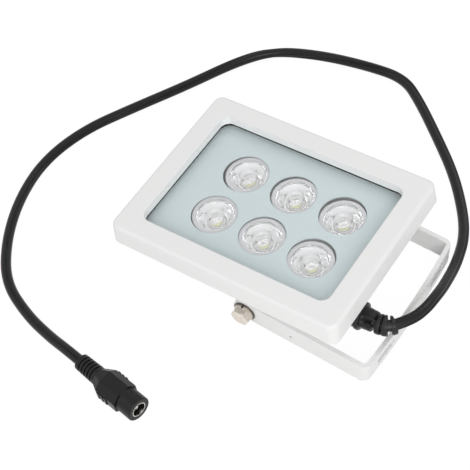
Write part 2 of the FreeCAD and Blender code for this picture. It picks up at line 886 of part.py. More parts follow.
def ring(inner, outer, thickness, start_y, side):
    base = Vector(pivot_x, side * start_y, pivot_height)
    return turned([(inner, 0), (outer, 0), (outer, thickness), (inner, thickness)], base, Y * side)


def flat_washer(side):
    start = bracket_span / 2 + arm_gap
    return ring(bolt_radius + washer_fit, flat_washer_radius, flat_washer_thickness, start, side)


def spring_washer(side):
    start = bracket_span / 2 + arm_gap + flat_washer_thickness
    washer = ring(bolt_radius + washer_fit, spring_washer_radius, spring_washer_thickness, start, side)
    middle = side * (start + spring_washer_thickness / 2)
    split_size = (spring_washer_split, 2 * spring_washer_thickness, spring_washer_radius + over)
    return washer.cut(block(split_size, (pivot_x, middle), pivot_height))


# Strain relief: snapped through the housing's end, with a slotted, bent tail
def relief_length():
    return relief_neck_length + sum(relief_ring_lengths) + sum(relief_ring_gaps)


def relief_front():
    """The flange's outer face."""
    return exit_pad_face + relief_base_thickness + relief_flange_thickness


def relief_place(distance):
    """Point and direction on the relief's centre line, that far beyond the flange."""
    start = Vector(relief_front(), exit_y, exit_height)
    if distance <= relief_straight:
        return start + X * distance, X
    radius = (relief_length() - relief_straight) / math.radians(relief_bend_angle)
    angle = (distance - relief_straight) / radius
    swing = Vector(math.sin(angle), 1 - math.cos(angle), 0) * radius
    return start + X * relief_straight + swing, Vector(math.cos(angle), math.sin(angle), 0)


def cord_end_x():
    """Where the cord comes out of the strain relief inside the housing."""
    return exit_pad_back() - relief_snap_thickness


def strain_relief():
    axis = Vector(0, exit_y, exit_height)
    front = relief_front()
    flange_back = exit_pad_face + relief_base_thickness
    flange = rod(relief_flange_radius, axis + X * flange_back, axis + X * front)
    flange = flange.makeFillet(relief_flange_edge, end_edges(flange, front))
    base = rod(relief_base_radius, axis + X * exit_pad_face, axis + X * flange_back)
    barrel = rod(exit_hole_radius - relief_fit, axis + X * cord_end_x(), axis + X * front)
    snap = rod(relief_snap_radius, axis + X * cord_end_x(), axis + X * exit_pad_back())
    bend_start, along = relief_place(relief_straight)
    core = rod(relief_core_radius, axis + X * exit_pad_face, bend_start)
    bent_core = relief_bar(relief_core_radius, relief_straight, relief_length())
    pieces = [base, barrel, snap, core, bent_core, relief_neck()]
    distance = relief_neck_length
    for radius, length, gap in zip(relief_ring_radii, relief_ring_lengths, relief_ring_gaps):
        distance += gap
        pieces.append(relief_ring(radius, length, distance))
        distance += length
    return flange.fuse(pieces).removeSplitter()


def relief_bar(radius, near_end, far_end):
    """Stretch of the tail as a round bar, straight at first and then following the bend."""
    bars = []
    if near_end < relief_straight:
        last = min(far_end, relief_straight)
        bars.append(rod(radius, relief_place(near_end)[0], relief_place(last)[0]))
    if far_end > relief_straight:
        first = max(near_end, relief_straight)
        start, along = relief_place(first)
        middle = relief_place((first + far_end) / 2)[0]
        end = relief_place(far_end)[0]
        path = Part.Wire([Part.Arc(start, middle, end).toShape()])
        profile = Part.Wire(Part.makeCircle(radius, start, along))
        bars.append(path.makePipeShell([profile], True, False))
    return bars[0].fuse(bars[1:]) if len(bars) > 1 else bars[0]


def relief_neck():
    """Tapered neck behind the flange, with a groove along each side."""
    start, along = relief_place(0)
    end, along_end = relief_place(relief_neck_length)
    near_circle = Part.Wire(Part.makeCircle(relief_neck_radius, start, along))
    far_circle = Part.Wire(Part.makeCircle(relief_neck_end_radius, end, along_end))
    neck = Part.makeLoft([near_circle, far_circle], True, True)
    groove_size = (relief_groove_length, 2 * relief_groove_depth, relief_groove_width)
    for side in (-1, 1):
        groove_x = start.x + relief_groove_start + relief_groove_length / 2
        groove_y = exit_y + side * relief_neck_radius
        groove = block(groove_size, (groove_x, groove_y), exit_height - relief_groove_width / 2)
        neck = neck.cut(groove)
    return neck


def relief_ring(radius, length, distance):
    """One segment of the slotted tail: a short disc with a notch in each side."""
    disc = relief_bar(radius, distance, distance + length)
    middle, along = relief_place(distance + length / 2)
    sideways = Vector(-along.y, along.x, 0)
    size = (length * relief_notch_share, radius - relief_core_radius, relief_groove_width)
    for side in (-1, 1):
        notch = Part.makeBox(*size, Vector(*size) * -0.5)
        disc = disc.cut(moved(notch, middle + sideways * (side * radius), Rotation(X, along)))
    return disc


def cord_end():
    """Stub of the cord's jacket inside the housing, behind the strain relief."""
    start = Vector(cord_end_x(), exit_y, exit_height)
    return rod(cord_radius, start - X * cord_tail, start)


# Cord: from the strain relief's mouth to the socket's boot
def power_cord():
    mouth, along = relief_place(relief_length())
    mouth = mouth - X * middle_x
    points = [tuple(mouth), tuple(mouth + along * cord_first_run)] + cord_route
    wire, length, radii = rounded_path(points)
    cord = tube(cord_radius, wire)
    section = math.pi * cord_radius ** 2
    print("cord starts at", [round(c, 2) for c in points[0]], "and next", [round(c, 2) for c in points[1]])
    print("cord length", round(length, 1), "radii", [round(r, 1) for r in radii])
    print("cord volume over section times length", round(cord.Volume / (section * length), 5))
    return cord


# Socket on the cord's end
def place_socket(shape):
    """Moves a piece of the socket onto the end of the cord, in line with its last run."""
    end = Vector(*cord_route[-1])
    along = end - Vector(*cord_route[-2])
    return moved(shape, end, Rotation(X, along))


def grip_wire(width, height, chamfer, x):
    """Eight-sided outline across the socket's axis."""
    w = width / 2
    h = height / 2
    corners = [(w, h - chamfer), (w - chamfer, h), (-w + chamfer, h), (-w, h - chamfer),
               (-w, -h + chamfer), (-w + chamfer, -h), (w - chamfer, -h), (w, -h + chamfer)]
    return Part.makePolygon([Vector(x, y, z) for y, z in corners + corners[:1]])


def socket_body():
    points = [(0, 0), (boot_tip_radius - boot_shoulder, 0), (boot_tip_radius, boot_shoulder)]
    slope = (boot_end_radius - boot_tip_radius) / boot_length
    first = boot_length - boot_groove_count * boot_groove_pitch - boot_groove_end
    for i in range(boot_groove_count):
        start = first + i * boot_groove_pitch
        outer = boot_tip_radius + slope * start
        inner = outer - boot_groove_depth
        points += [(outer, start), (inner, start + boot_groove_slope),
                   (inner, start + boot_groove_width - boot_groove_slope), (outer, start + boot_groove_width)]
    points += [(boot_end_radius, boot_length), (0, boot_length)]
    boot = turned(points, Vector(), X)
    grip_start = boot_length + flare_length
    small = 2 * boot_end_radius
    flare = Part.makeLoft([grip_wire(small, small, flare_chamfer, boot_length),
                           grip_wire(grip_width, grip_height, grip_chamfer, grip_start)], True, True)
    grip = Part.Face(grip_wire(grip_width, grip_height, grip_chamfer, grip_start)).extrude(X * grip_length)
    grip_end = grip_start + grip_length
    mouth = socket_mouth()
    barrel = rod(barrel_radius, X * grip_end, X * mouth)
    barrel = barrel.makeFillet(barrel_edge, end_edges(barrel, mouth))
    pieces = [flare, grip, barrel]
    rib_tall = grip_height - 2 * (grip_chamfer + rib_end_gap)
    rib_size = (rib_length, 2 * rib_height, rib_tall)
    for side in (-1, 1):
        for i in range(rib_count):
            rib_x = grip_start + rib_start + rib_length / 2 + i * rib_pitch
            rib = block(rib_size, (rib_x, side * grip_width / 2), -rib_tall / 2)
            pieces.append(rib)
    bore = rod(sleeve_radius + socket_fit, X * socket_bore_end(), X * (mouth + over))
    return place_socket(boot.fuse(pieces).cut(bore).removeSplitter())


def socket_mouth():
    return boot_length + flare_length + grip_length + barrel_length


def socket_bore_end():
    return socket_mouth() - sleeve_length - socket_base_thickness


def socket_sleeve():
    start = X * (socket_mouth() - sleeve_length)
    end = X * socket_mouth()
    return place_socket(rod(sleeve_radius, start, end).cut(rod(sleeve_radius - sleeve_wall, start, end)))


def socket_base():
    start = X * socket_bore_end()
    end = start + X * socket_base_thickness
    return place_socket(rod(sleeve_radius, start, end).cut(rod(pin_radius + socket_fit, start, end)))


def socket_pin():
    end = socket_mouth() - pin_recess
    pin = rod(pin_radius, X * socket_bore_end(), X * end)
    return place_socket(pin.makeFillet(pin_edge, end_edges(pin, end)))


save("front_frame", front_frame())
save("lip_seal", lip_seal())
save("front_glass", front_glass())
save("body_seal", body_seal())
save("cover_plate", cover_plate())
save("rear_housing", rear_housing())
save("frame_screws", frame_screws())
save("led_board", led_board())
save("board_screws", board_screws())
for number, place in enumerate(lens_places(board_top), start=1):
    save("led_" + str(number), emitter(place))
    save("lens_holder_" + str(number), lens_holder(place))
    save("lens_" + str(number), lens(place + Z * (lens_bottom - board_top)))
save("driver_board", driver_board())
save("driver_screws", driver_screws())
save("driver_coil", driver_coil())
save("driver_capacitor", driver_capacitor())
save("driver_chips", driver_chips())
save("terminal_block", terminal_block())
save("positive_leads", leads(1))
save("negative_leads", leads(-1))
save("bracket", bracket())
for end_name, end_side in (("front", -1), ("back", 1)):
    save("pivot_bolt_" + end_name, pivot_bolt(end_side))
    save("flat_washer_" + end_name, flat_washer(end_side))
    save("spring_washer_" + end_name, spring_washer(end_side))
save("strain_relief", strain_relief())
save("cord_end", cord_end())
save("power_cord", power_cord(), shifted=False)
save("socket_body", socket_body(), shifted=False)
save("socket_sleeve", socket_sleeve(), shifted=False)
save("socket_base", socket_base(), shifted=False)
save("socket_pin", socket_pin(), shifted=False)

print("bracket tilt", round(math.degrees(bracket_tilt), 3), "degrees")
print("middle of the whole at x", round(middle_x, 3))
print("pivot at", round(pivot_x - middle_x, 3), pivot_height)
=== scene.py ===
import math

import bmesh
import bpy
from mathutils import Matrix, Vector


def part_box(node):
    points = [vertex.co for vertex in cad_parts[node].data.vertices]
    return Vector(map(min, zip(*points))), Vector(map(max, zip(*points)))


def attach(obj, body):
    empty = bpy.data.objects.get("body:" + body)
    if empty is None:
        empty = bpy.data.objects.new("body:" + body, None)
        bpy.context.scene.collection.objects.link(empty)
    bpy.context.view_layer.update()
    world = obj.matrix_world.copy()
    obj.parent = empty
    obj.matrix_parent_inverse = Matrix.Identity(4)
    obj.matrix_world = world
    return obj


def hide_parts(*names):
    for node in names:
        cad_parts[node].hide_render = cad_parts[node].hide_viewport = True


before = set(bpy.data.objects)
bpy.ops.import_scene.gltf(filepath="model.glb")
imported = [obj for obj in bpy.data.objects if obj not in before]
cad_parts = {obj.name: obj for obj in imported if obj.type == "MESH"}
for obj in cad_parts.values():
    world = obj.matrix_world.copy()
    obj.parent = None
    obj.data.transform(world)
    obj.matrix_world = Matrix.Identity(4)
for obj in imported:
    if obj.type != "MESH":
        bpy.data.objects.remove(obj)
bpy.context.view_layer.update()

# Small white floodlight: a die-cast head with six lensed LEDs behind glass, lying on its
# finned back with its U bracket folded out, and its cord lying round it on the table.


# ---- Camera
# It looks down on the lamp from above its front right corner. Its lens is long, so that the
# head's edges stay nearly parallel.

camera_lens = bpy.data.cameras.new("camera")
camera_lens.sensor_width = 36.0
camera_lens.lens = 100.4
camera = bpy.data.objects.new("camera", camera_lens)
camera.location = (0.22551, -0.27318, 0.48464)
camera.rotation_euler = (0.65092, 0.12862, 0.58778)
bpy.context.scene.collection.objects.link(camera)
bpy.context.scene.camera = camera
bpy.context.scene.view_settings.view_transform = "Standard"


# ---- Light
# A white studio all round, and three soft boxes: a wide faint one on the left, the main one
# in front on the right, and a small one behind.

def maths(tree, operation, first, second):
    """One sum or comparison in a material; each value is a socket or a number."""
    node = tree.nodes.new("ShaderNodeMath")
    node.operation = operation
    for slot, value in enumerate((first, second)):
        if isinstance(value, float):
            node.inputs[slot].default_value = value
        else:
            tree.links.new(value, node.inputs[slot])
    return node.outputs[0]


def seen_directly(tree):
    """1 for what the camera sees, also in gloss or through glass; 0 for light alone."""
    rays = tree.nodes.new("ShaderNodeLightPath")
    seen = maths(tree, "MAXIMUM", rays.outputs["Is Camera Ray"], rays.outputs["Is Glossy Ray"])
    return maths(tree, "MAXIMUM", seen, rays.outputs["Is Transmission Ray"])


room_light = 0.65
white_seen = 1.0
studio = bpy.data.worlds.new("studio")
bpy.context.scene.world = studio
studio.use_nodes = True
tree = studio.node_tree
strength = tree.nodes.new("ShaderNodeMapRange")
strength.inputs["To Min"].default_value = room_light
strength.inputs["To Max"].default_value = white_seen
tree.links.new(seen_directly(tree), strength.inputs["Value"])
backdrop = tree.nodes["Background"]
backdrop.inputs["Color"].default_value = (1.0, 1.0, 1.0, 1.0)
tree.links.new(strength.outputs["Result"], backdrop.inputs["Strength"])

for name, place, width, power in (
        ("soft_box_left", (-0.55, -0.60, 0.75), 0.7, 0.8),
        ("soft_box_front", (0.60, -0.64, 0.66), 0.6, 4.5),
        ("soft_box_back", (0.05, 0.60, 0.80), 0.25, 0.9)):
    lamp = bpy.data.lights.new(name, "AREA")
    lamp.shape = "SQUARE"
    lamp.size = width
    lamp.energy = power
    soft_box = bpy.data.objects.new(name, lamp)
    soft_box.location = place
    soft_box.rotation_euler = (-Vector(place)).to_track_quat("-Z", "Y").to_euler()
    bpy.context.scene.collection.objects.link(soft_box)


# ---- Floor
# A plain white table. The camera sees it almost as bright as the background, with a faint
# shadow of the lamp, while for the lamp it is an ordinary matt white surface.

def node_material(name):
    """Empty node material with its shader joined to the output."""
    material = bpy.data.materials.new(name)
    material.use_nodes = True
    return material, material.node_tree, material.node_tree.nodes["Principled BSDF"]


table_size = 3.0
table_gap = 0.0002
table_glow = 1.05
glow_share = 0.90
table_mesh = bpy.data.meshes.new("table_top")
edit = bmesh.new()
bmesh.ops.create_grid(edit, x_segments=4, y_segments=4, size=table_size / 2)
edit.to_mesh(table_mesh)
edit.free()
table_top = bpy.data.objects.new("table_top", table_mesh)
table_top.location = (0.0, 0.0, -table_gap)
bpy.context.scene.collection.objects.link(table_top)
table_white, tree, shader = node_material("table_white")
shader.inputs["Base Color"].default_value = (0.90, 0.90, 0.90, 1.0)
shader.inputs["Roughness"].default_value = 0.9
shader.inputs["Specular IOR Level"].default_value = 0.0
glow = tree.nodes.new("ShaderNodeEmission")
glow.inputs["Strength"].default_value = table_glow
blend = tree.nodes.new("ShaderNodeMixShader")
tree.links.new(maths(tree, "MULTIPLY", seen_directly(tree), glow_share), blend.inputs["Fac"])
tree.links.new(shader.outputs[0], blend.inputs[1])
tree.links.new(glow.outputs[0], blend.inputs[2])
tree.links.new(blend.outputs[0], tree.nodes["Material Output"].inputs["Surface"])
table_mesh.materials.append(table_white)


# ---- Rear housing
# One aluminium die casting: a drafted box with a flange, open cooling fins across its back,
# a boss on each long side and a round pad where the cord leaves. Satin white powder coat.

def display(red, green, blue):
    """Colour as a screen shows it, 0 to 255, turned into the shader's own scale."""
    linear = []
    for value in (red, green, blue):
        share = value / 255
        linear.append(share / 12.92 if share <= 0.04045 else ((share + 0.055) / 1.055) ** 2.4)
    return (*linear, 1.0)


def new_group(name, inputs, outputs):
    """Shader node group with number inputs and the outputs given."""
    group = bpy.data.node_groups.new(name, "ShaderNodeTree")
    for label, value in inputs.items():
        kind = "NodeSocketVector" if isinstance(value, tuple) else "NodeSocketFloat"
        socket = group.interface.new_socket(name=label, in_out="INPUT", socket_type=kind)
        socket.default_value = value
    for label, kind in outputs.items():
        group.interface.new_socket(name=label, in_out="OUTPUT", socket_type=kind)
    return group, group.nodes.new("NodeGroupInput"), group.nodes.new("NodeGroupOutput")


def put_group(tree, group, values):
    """Places a node group in a material with its own values."""
    node = tree.nodes.new("ShaderNodeGroup")
    node.node_tree = group
    for label, value in values.items():
        node.inputs[label].default_value = value
    return node


# Fine waviness of a coat or a moulded skin, and slow changes of tone across a piece
skin_grain, inlet, outlet = new_group(
    "skin_grain", {"Grain scale": 900.0, "Cloud scale": 30.0},
    {"Height": "NodeSocketFloat", "Cloud": "NodeSocketFloat"})
place = skin_grain.nodes.new("ShaderNodeTexCoord")
for label, scale, detail, roughness in (
        ("Height", "Grain scale", 3.0, 0.55), ("Cloud", "Cloud scale", 2.0, 0.5)):
    noise = skin_grain.nodes.new("ShaderNodeTexNoise")
    noise.inputs["Detail"].default_value = detail
    noise.inputs["Roughness"].default_value = roughness
    skin_grain.links.new(place.outputs["Object"], noise.inputs["Vector"])
    skin_grain.links.new(inlet.outputs[scale], noise.inputs["Scale"])
    skin_grain.links.new(noise.outputs["Fac"], outlet.inputs[label])

# Edges, where a coat is thinner or a skin is rubbed, and where plastics get a painted sheen: there
# the rounded normal turns away
edge_rub_and_sheen, inlet, outlet = new_group(
    "edge_rub_and_sheen", {"Width": 0.0006, "Break up": 400.0}, {"Edge": "NodeSocketFloat"})
rounded = edge_rub_and_sheen.nodes.new("ShaderNodeBevel")
rounded.samples = 6
facing = edge_rub_and_sheen.nodes.new("ShaderNodeNewGeometry")
alike = edge_rub_and_sheen.nodes.new("ShaderNodeVectorMath")
alike.operation = "DOT_PRODUCT"
fall = edge_rub_and_sheen.nodes.new("ShaderNodeMapRange")
fall.inputs["From Min"].default_value = 0.999
fall.inputs["From Max"].default_value = 0.86
place = edge_rub_and_sheen.nodes.new("ShaderNodeTexCoord")
ragged = edge_rub_and_sheen.nodes.new("ShaderNodeTexNoise")
edge_rub_and_sheen.links.new(inlet.outputs["Width"], rounded.inputs["Radius"])
edge_rub_and_sheen.links.new(rounded.outputs["Normal"], alike.inputs[0])
edge_rub_and_sheen.links.new(facing.outputs["Normal"], alike.inputs[1])
edge_rub_and_sheen.links.new(alike.outputs["Value"], fall.inputs["Value"])
edge_rub_and_sheen.links.new(place.outputs["Object"], ragged.inputs["Vector"])
edge_rub_and_sheen.links.new(inlet.outputs["Break up"], ragged.inputs["Scale"])
edge_share = maths(edge_rub_and_sheen, "MULTIPLY", fall.outputs["Result"], ragged.outputs["Fac"])
edge_rub_and_sheen.links.new(edge_share, outlet.inputs["Edge"])

# A speck of dust baked into a powder coat at one place
coat_speck, inlet, outlet = new_group(
    "coat_speck", {"Place": (0.0, 0.0, 0.0), "Size": 0.0004}, {"Speck": "NodeSocketFloat"})
place = coat_speck.nodes.new("ShaderNodeTexCoord")
away = coat_speck.nodes.new("ShaderNodeVectorMath")
away.operation = "DISTANCE"
ragged = coat_speck.nodes.new("ShaderNodeTexNoise")
ragged.inputs["Scale"].default_value = 2500.0
coat_speck.links.new(place.outputs["Object"], away.inputs[0])
coat_speck.links.new(inlet.outputs["Place"], away.inputs[1])
coat_speck.links.new(place.outputs["Object"], ragged.inputs["Vector"])
reach = maths(coat_speck, "MULTIPLY", ragged.outputs["Fac"], inlet.outputs["Size"])
inside = maths(coat_speck, "LESS_THAN", away.outputs["Value"], reach)
coat_speck.links.new(inside, outlet.inputs["Speck"])


def mix_colours(tree, share, first, second):
    """Mixes from first to second by share; each colour is a socket or a fixed value."""
    mix = tree.nodes.new("ShaderNodeMix")
    mix.data_type = "RGBA"
    if isinstance(share, float):
        mix.inputs["Factor"].default_value = share
    else:
        tree.links.new(share, mix.inputs["Factor"])
    for label, colour in (("A", first), ("B", second)):
        socket = [s for s in mix.inputs if s.name == label and s.type == "RGBA"][0]
        if isinstance(colour, tuple):
            socket.default_value = colour
        else:
            tree.links.new(colour, socket)
    return [s for s in mix.outputs if s.type == "RGBA"][0]


def spread(tree, value, low, high):
    """Spreads a 0 to 1 value between two numbers."""
    span = tree.nodes.new("ShaderNodeMapRange")
    span.inputs["To Min"].default_value = low
    span.inputs["To Max"].default_value = high
    tree.links.new(value, span.inputs["Value"])
    return span.outputs["Result"]


def raise_surface(tree, shader, height, depth, strength):
    """Bump from a height, of the given depth in metres."""
    bump = tree.nodes.new("ShaderNodeBump")
    bump.inputs["Strength"].default_value = strength
    bump.inputs["Distance"].default_value = depth
    tree.links.new(height, bump.inputs["Height"])
    tree.links.new(bump.outputs["Normal"], shader.inputs["Normal"])


def powder_coat(name, bright, dull, specks=()):
    """White satin coat: orange peel, a slightly thinner edge and a few specks."""
    material, tree, shader = node_material(name)
    skin = put_group(tree, skin_grain, {"Grain scale": 1100.0, "Cloud scale": 26.0})
    edge = put_group(tree, edge_rub_and_sheen, {"Width": 0.0005, "Break up": 500.0})
    coat = mix_colours(tree, skin.outputs["Cloud"], dull, bright)
    thin = spread(tree, edge.outputs["Edge"], 0.0, 0.3)
    coat = mix_colours(tree, thin, coat, display(226, 227, 227))
    for speck_place, size in specks:
        speck = put_group(tree, coat_speck, {"Place": speck_place, "Size": size})
        coat = mix_colours(tree, speck.outputs["Speck"], coat, display(88, 85, 82))
    tree.links.new(coat, shader.inputs["Base Color"])
    tree.links.new(spread(tree, skin.outputs["Cloud"], 0.34, 0.46), shader.inputs["Roughness"])
    shader.inputs["Specular IOR Level"].default_value = 0.42
    raise_surface(tree, shader, skin.outputs["Height"], 0.00004, 0.35)
    return material


def coat_nodes(material, *names):
    """Gives CAD nodes their finish."""
    for name in names:
        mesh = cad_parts[name].data
        mesh.materials.clear()
        mesh.materials.append(material)


housing_paint = powder_coat("housing_paint", display(234, 234, 233), display(230, 231, 230))
coat_nodes(housing_paint, "rear_housing")


# ---- Front frame
# A second die casting, a drafted ring whose lip holds the glass, screwed on from behind. It has the
# same coat, painted nearly pure white down the inside of the lip as painted light in the recess.

def foot_of(name):
    """Middle of a CAD node's underside."""
    low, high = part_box(name)
    return (low[0] + high[0]) / 2, (low[1] + high[1]) / 2, low[2]


window_size = (95.0, 67.0)
lip_top = 41.7
lip_slack = 0.0003
lip_light_fade = 0.0004
frame_paint = powder_coat("frame_paint", display(234, 234, 233), display(230, 231, 230))
tree = frame_paint.node_tree
shader = tree.nodes["Principled BSDF"]
outer_coat = shader.inputs["Base Color"].links[0].from_socket
place = tree.nodes.new("ShaderNodeTexCoord")
from_centre = tree.nodes.new("ShaderNodeVectorMath")
from_centre.operation = "SUBTRACT"
from_centre.inputs[1].default_value = (*foot_of("front_frame")[:2], 0.0)
either_side = tree.nodes.new("ShaderNodeVectorMath")
either_side.operation = "ABSOLUTE"
sides = tree.nodes.new("ShaderNodeSeparateXYZ")
tree.links.new(place.outputs["Object"], from_centre.inputs[0])
tree.links.new(from_centre.outputs[0], either_side.inputs[0])
tree.links.new(either_side.outputs[0], sides.inputs[0])
inside = None
for axis, limit in (
        ("X", window_size[0] / 2000 + lip_slack), ("Y", window_size[1] / 2000 + lip_slack),
        ("Z", lip_top / 1000)):
    below = tree.nodes.new("ShaderNodeMapRange")
    below.inputs["From Min"].default_value = limit
    below.inputs["From Max"].default_value = limit - lip_light_fade
    tree.links.new(sides.outputs[axis], below.inputs["Value"])
    here = below.outputs["Result"]
    inside = here if inside is None else maths(tree, "MULTIPLY", inside, here)
# Painted light: the lip's inner walls, inside the window and below its top, are painted nearly pure
# white
lip_painted_light = mix_colours(tree, inside, outer_coat, display(254, 254, 254))
tree.links.new(lip_painted_light, shader.inputs["Base Color"])
coat_nodes(frame_paint, "front_frame")


# ---- Seals
# Two flat black rubber rings, one under the frame's lip and one on the housing's flange.
# They are cut from sheet and squeezed as the frame is screwed down.

def rubber(name, light, dark, roughness):
    """Rubber or soft plastic with a fine skin and greyer, rubbed edges."""
    material, tree, shader = node_material(name)
    skin = put_group(tree, skin_grain, {"Grain scale": 2200.0, "Cloud scale": 60.0})
    edge = put_group(tree, edge_rub_and_sheen, {"Width": 0.0003, "Break up": 900.0})
    body = mix_colours(tree, skin.outputs["Cloud"], dark, light)
    edge_share = spread(tree, edge.outputs["Edge"], 0.0, 0.4)
    tree.links.new(mix_colours(tree, edge_share, body, display(60, 60, 60)), shader.inputs["Base Color"])
    sheen = spread(tree, skin.outputs["Cloud"], roughness - 0.06, roughness + 0.06)
    tree.links.new(sheen, shader.inputs["Roughness"])
    shader.inputs["Specular IOR Level"].default_value = 0.25
    raise_surface(tree, shader, skin.outputs["Height"], 0.00002, 0.3)
    return material


def join_rings(edit, rings):
    """Faces between neighbouring rings that have equally many points."""
    for ring, following in zip(rings, rings[1:]):
        for here in range(len(ring)):
            after = (here + 1) % len(ring)
            edit.faces.new((ring[here], ring[after], following[after], following[here]))


def finish_piece(name, edit, material, sharp=35.0):
    """Smooth object from edited mesh, sharp above an angle in degrees. It rides on the lamp."""
    bmesh.ops.recalc_face_normals(edit, faces=edit.faces)
    for face in edit.faces:
        face.smooth = True
    for edge in edit.edges:
        if len(edge.link_faces) == 2 and edge.calc_face_angle() > math.radians(sharp):
            edge.smooth = False
    mesh = bpy.data.meshes.new(name)
    edit.to_mesh(mesh)
    edit.free()
    mesh.materials.append(material)
    piece = bpy.data.objects.new(name, mesh)
    bpy.context.scene.collection.objects.link(piece)
    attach(piece, "lamp")
    return piece


def rounded_outline(size, corner, steps=8):
    """Outline of a rounded rectangle about its centre, in millimetres."""
    points = []
    for quarter, (along, across) in enumerate(((1, 1), (-1, 1), (-1, -1), (1, -1))):
        centre_x = along * (size[0] / 2 - corner)
        centre_y = across * (size[1] / 2 - corner)
        for step in range(steps + 1):
            angle = math.radians(90) * (quarter + step / steps)
            points.append((centre_x + corner * math.cos(angle),
                           centre_y + corner * math.sin(angle)))
    return points


seal_rubber = rubber("seal_rubber", display(52, 52, 52), display(38, 38, 38), 0.7)
coat_nodes(seal_rubber, "lip_seal")

seal_corner = 4.0
seal_margin = 0.88
window_corner = 4.5
seal_middle = foot_of("body_seal")
seal_low, seal_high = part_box("body_seal")
seal_outer = (1000 * (seal_high[0] - seal_low[0]), 1000 * (seal_high[1] - seal_low[1]))
opening = (window_size[0] + 2 * seal_margin, window_size[1] + 2 * seal_margin)
opening_corner = window_corner + seal_margin
edit = bmesh.new()
loops = []
for size, corner, height in (
        (seal_outer, seal_corner, seal_low[2]), (seal_outer, seal_corner, seal_high[2]),
        (opening, opening_corner, seal_high[2]), (opening, opening_corner, seal_low[2])):
    loops.append([edit.verts.new((seal_middle[0] + x / 1000, seal_middle[1] + y / 1000, height))
                  for x, y in rounded_outline(size, corner)])
join_rings(edit, loops + loops[:1])
body_seal = finish_piece("body_seal", edit, seal_rubber)
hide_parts("body_seal")


# ---- Front glass
# A pane of ordinary float glass with ground edges, nearly clear through its face. It is
# pressed against the seal under the frame's lip.

def clear_material(name, tint, ior, roughness, shadow_tint, transmission=1.0):
    """Clear solid: it refracts what the camera sees, and lets the room's light through."""
    material, tree, shader = node_material(name)
    shader.inputs["Base Color"].default_value = tint
    shader.inputs["Roughness"].default_value = roughness
    shader.inputs["IOR"].default_value = ior
    shader.inputs["Transmission Weight"].default_value = transmission
    rays = tree.nodes.new("ShaderNodeLightPath")
    light = maths(tree, "MAXIMUM", rays.outputs["Is Shadow Ray"], rays.outputs["Is Diffuse Ray"])
    thin = tree.nodes.new("ShaderNodeBsdfTransparent")
    thin.inputs["Color"].default_value = shadow_tint
    blend = tree.nodes.new("ShaderNodeMixShader")
    tree.links.new(light, blend.inputs["Fac"])
    tree.links.new(shader.outputs[0], blend.inputs[1])
    tree.links.new(thin.outputs[0], blend.inputs[2])
    tree.links.new(blend.outputs[0], tree.nodes["Material Output"].inputs["Surface"])
    return material


float_glass = clear_material(
    "front_glass", (0.985, 0.992, 0.992, 1.0), 1.5, 0.0, (0.992, 0.996, 0.996, 1.0))
coat_nodes(float_glass, "front_glass")


# ---- Cover plate
# Thin steel sheet punched with six holes, white satin paint. It hides the LED board, and
# lies in a recess of the housing under the glass.

plate_paint = powder_coat("plate_paint", display(203, 215, 217), display(198, 211, 214))
coat_nodes(plate_paint, "cover_plate")


# ---- LED board with its emitters
# Aluminium board with white solder mask, screwed to two rails of the housing. Each emitter
# is a white ceramic base with a yellow phosphor patch under a clear dome.

def plastic(name, light, dark, roughness, edge_sheen, grain_depth=0.00001):
    """Moulded plastic: faint clouding, a fine skin and rubbed edges of another tone, mostly a
    lighter painted sheen.
    """
    material, tree, shader = node_material(name)
    skin = put_group(tree, skin_grain, {"Grain scale": 1800.0, "Cloud scale": 70.0})
    edge = put_group(tree, edge_rub_and_sheen, {"Width": 0.0003, "Break up": 700.0})
    body = mix_colours(tree, skin.outputs["Cloud"], dark, light)
    edge_share = spread(tree, edge.outputs["Edge"], 0.0, 0.5)
    # The edge tone paints a sheen on the rubbed edges: painted highlight, partly real wear
    tree.links.new(mix_colours(tree, edge_share, body, edge_sheen), shader.inputs["Base Color"])
    sheen = spread(tree, skin.outputs["Cloud"], roughness - 0.05, roughness + 0.05)
    tree.links.new(sheen, shader.inputs["Roughness"])
    raise_surface(tree, shader, skin.outputs["Height"], grain_depth, 0.3)
    return material


def rounded_line(corners, steps=5):
    """Line through corners of (radius, height, rounding), with a small arc at each rounded one."""
    line = []
    for here, (radius, height, rounding) in enumerate(corners):
        corner = Vector((radius, height))
        if rounding == 0:
            line.append((radius, height))
            continue
        back = (Vector(corners[here - 1][:2]) - corner).normalized() * rounding
        ahead = (Vector(corners[here + 1][:2]) - corner).normalized() * rounding
        for step in range(steps + 1):
            part = step / steps
            spot = corner + back * (1 - part) ** 2 + ahead * part ** 2
            line.append((spot.x, spot.y))
    return line


def turned_piece(name, line, place, material, segments=96):
    """Piece turned about an upright axis, from a line of (radius, height) in millimetres."""
    edit = bmesh.new()
    rings = []
    for radius, height in line:
        count = segments if radius > 0.001 else 1
        ring = []
        for step in range(count):
            angle = 2 * math.pi * step / count
            ring.append(edit.verts.new((place[0] + radius / 1000 * math.cos(angle),
                                        place[1] + radius / 1000 * math.sin(angle),
                                        place[2] + height / 1000)))
        rings.append(ring)
    for low, high in zip(rings, rings[1:]):
        for step in range(segments):
            after = (step + 1) % segments
            if len(low) == 1:
                edit.faces.new((low[0], high[after], high[step]))
            elif len(high) == 1:
                edit.faces.new((low[step], low[after], high[0]))
            else:
                edit.faces.new((low[step], low[after], high[after], high[step]))
    return finish_piece(name, edit, material)


board_mask = plastic("led_board_mask", display(232, 233, 230), display(224, 226, 224), 0.4,
                     display(200, 200, 190))
coat_nodes(board_mask, "led_board")
emitter_ceramic = plastic("emitter_ceramic", display(248, 248, 246), display(243, 243, 241),
                          0.35, display(250, 250, 248))
phosphor = plastic("led_phosphor", display(240, 238, 178), display(232, 229, 160), 0.4,
                   display(240, 238, 200))
dome_silicone = clear_material(
    "emitter_dome", (0.99, 0.99, 0.99, 1.0), 1.42, 0.02, (0.98, 0.98, 0.98, 1.0))

